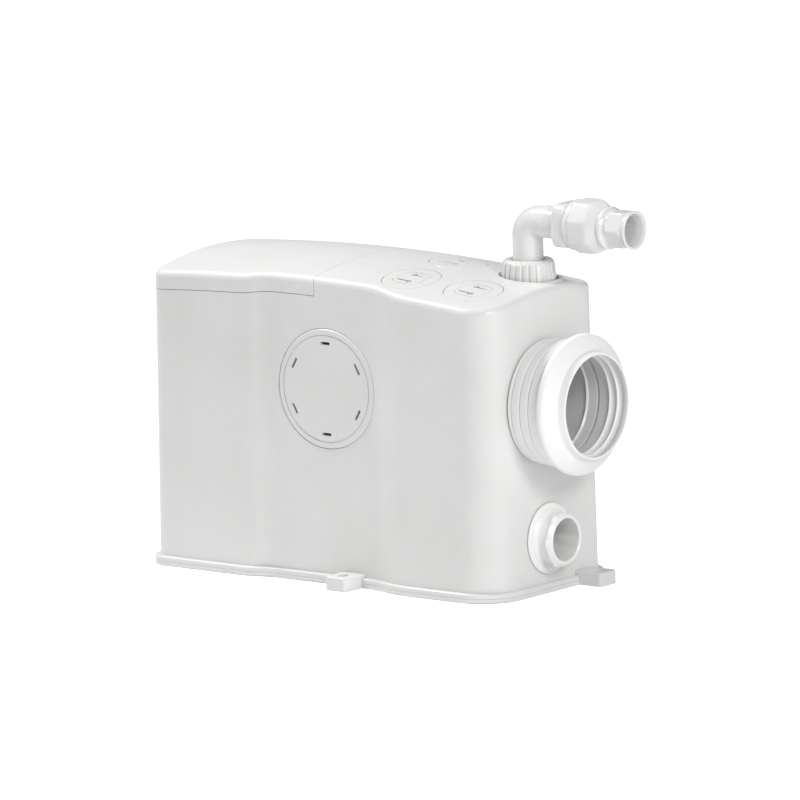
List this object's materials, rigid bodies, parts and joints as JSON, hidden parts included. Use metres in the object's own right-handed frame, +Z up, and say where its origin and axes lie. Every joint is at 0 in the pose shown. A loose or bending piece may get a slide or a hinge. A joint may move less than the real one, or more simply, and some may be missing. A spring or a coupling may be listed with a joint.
{
  "type": "sewage pump",
  "caption": "Floor-standing white sewage pump tank with rubber pan inlet, low waste inlet, capped top ports and a swivelling discharge elbow with non-return valve.",
  "frame": {"origin": "middle of the tank footprint on the floor", "axes": "+X towards the pan inlet end, -Y the front with the round vent, +Z up"},
  "size_m": [0.5218, 0.221, 0.3675],
  "materials": {
    "white_shell": "satin moulded white",
    "white_gloss": "glossy moulded white",
    "white_rubber": "soft white rubber",
    "white_fitting": "smooth moulded white",
    "grey_plastic": "grey moulded",
    "black_rubber": "black rubber",
    "stainless": "stainless steel",
    "motor_metal": "cast aluminium",
    "dark_plastic": "dark moulded",
    "lamination": "stacked steel sheets",
    "copper_winding": "varnished copper wire",
    "filter_foam": "open carbon foam"
  },
  "bodies": {
    "tank": {"base_gasket": "black_rubber", "base_screws": "stainless", "bell_dome": "grey_plastic", "bell_membrane": "black_rubber", "capacitor": "motor_metal", "capacitor_clip": "grey_plastic", "elbow_seal": "black_rubber", "filter_pad": "filter_foam", "gland_body": "grey_plastic", "gland_lock_nut": "grey_plastic", "grinder_basket": "stainless", "inlet_chute": "grey_plastic", "inlet_sleeve": "white_rubber", "lid_gasket": "black_rubber", "micro_switch": "dark_plastic", "motor_deck": "grey_plastic", "motor_end_cap": "motor_metal", "motor_housing": "motor_metal", "port_seals": "black_rubber", "pressure_bell": "grey_plastic", "pump_screws": "stainless", "pump_volute": "grey_plastic", "riser_coupling": "black_rubber", "riser_pipe": "grey_plastic", "service_tray": "grey_plastic", "shaft_bearings": "stainless", "shaft_seals": "black_rubber", "stator_core": "lamination", "stator_windings": "copper_winding", "tank_base": "white_shell", "tank_hood": "white_shell", "terminal_block": "dark_plastic", "terminal_screws": "stainless", "volute_cover": "grey_plastic", "waste_flap_pin": "stainless", "waste_inlet": "white_fitting", "waste_lock_nut": "white_fitting", "waste_seal": "black_rubber"},
    "service_lid": {"service_lid": "white_shell"},
    "vent_cover": {"vent_cover": "white_shell"},
    "port_cap_left": {"port_cap_left": "white_shell"},
    "port_cap_right": {"port_cap_right": "white_shell"},
    "port_cap_rear": {"port_cap_rear": "white_shell"},
    "union_nut": {"union_nut": "white_gloss"},
    "outlet": {"outlet_elbow": "white_gloss", "valve_adaptor": "white_gloss", "valve_body": "white_gloss", "valve_flap_pin": "stainless", "valve_seal": "black_rubber", "valve_tail": "white_gloss"},
    "valve_union_nut": {"valve_union_nut": "white_gloss"},
    "valve_flap": {"valve_flap": "black_rubber"},
    "waste_flap": {"waste_flap": "black_rubber"},
    "rotor": {"motor_shaft": "stainless", "rotor_core": "lamination", "impeller": "grey_plastic", "cutter_blade": "stainless"},
    "switch_plunger": {"switch_plunger": "grey_plastic"},
    "gland_dome_nut": {"gland_dome_nut": "grey_plastic"}
  },
  "joints": [
    {"name": "lid_lift", "type": "slide", "parent": "tank", "child": "service_lid", "axis": [0, 0, 1], "range_m": [0, 0.06]},
    {"name": "vent_turn", "type": "hinge", "parent": "tank", "child": "vent_cover", "pos_m": [0.003, -0.07293, 0.1845], "axis": [0, -0.9999, 0.0115], "range_deg": [0, 30]},
    {"name": "port_cap_left_turn", "type": "hinge", "parent": "tank", "child": "port_cap_left", "pos_m": [0.0808, -0.0395, 0.29102], "axis": [0.0574, -0.1519, 0.9867], "range_deg": [0, 90]},
    {"name": "port_cap_right_turn", "type": "hinge", "parent": "tank", "child": "port_cap_right", "pos_m": [0.1533, -0.0395, 0.28552], "axis": [0.0919, -0.1519, 0.9841], "range_deg": [0, 90]},
    {"name": "port_cap_rear_turn", "type": "hinge", "parent": "tank", "child": "port_cap_rear", "pos_m": [0.0808, 0.032, 0.29527], "axis": [0.058, 0.0338, 0.9977], "range_deg": [0, 90]},
    {"name": "union_nut_turn", "type": "hinge", "parent": "tank", "child": "union_nut", "pos_m": [0.1613, 0.0345, 0.295], "axis": [0, 0, 1], "continuous": true},
    {"name": "outlet_swivel", "type": "hinge", "parent": "tank", "child": "outlet", "pos_m": [0.1613, 0.0345, 0.3], "axis": [0, 0, 1], "continuous": true},
    {"name": "valve_nut_turn", "type": "hinge", "parent": "outlet", "child": "valve_union_nut", "pos_m": [0.242, 0.0345, 0.3417], "axis": [1, 0, 0], "continuous": true},
    {"name": "valve_flap_swing", "type": "hinge", "parent": "outlet", "child": "valve_flap", "pos_m": [0.2177, 0.0345, 0.3577], "axis": [0, -1, 0], "range_deg": [0, 50]},
    {"name": "waste_flap_swing", "type": "hinge", "parent": "tank", "child": "waste_flap", "pos_m": [0.184, 0, 0.075], "axis": [0, 1, 0], "range_deg": [0, 60]},
    {"name": "rotor_spin", "type": "hinge", "parent": "tank", "child": "rotor", "pos_m": [0.035, 0, 0.12], "axis": [0, 0, 1], "continuous": true},
    {"name": "switch_press", "type": "slide", "parent": "tank", "child": "switch_plunger", "axis": [0, 0, 1], "range_m": [0, 0.002], "stiffness_N_per_m": 150},
    {"name": "gland_nut_turn", "type": "hinge", "parent": "tank", "child": "gland_dome_nut", "pos_m": [-0.11, 0.095, 0.232], "axis": [0, 1, 0], "continuous": true}
  ]
}
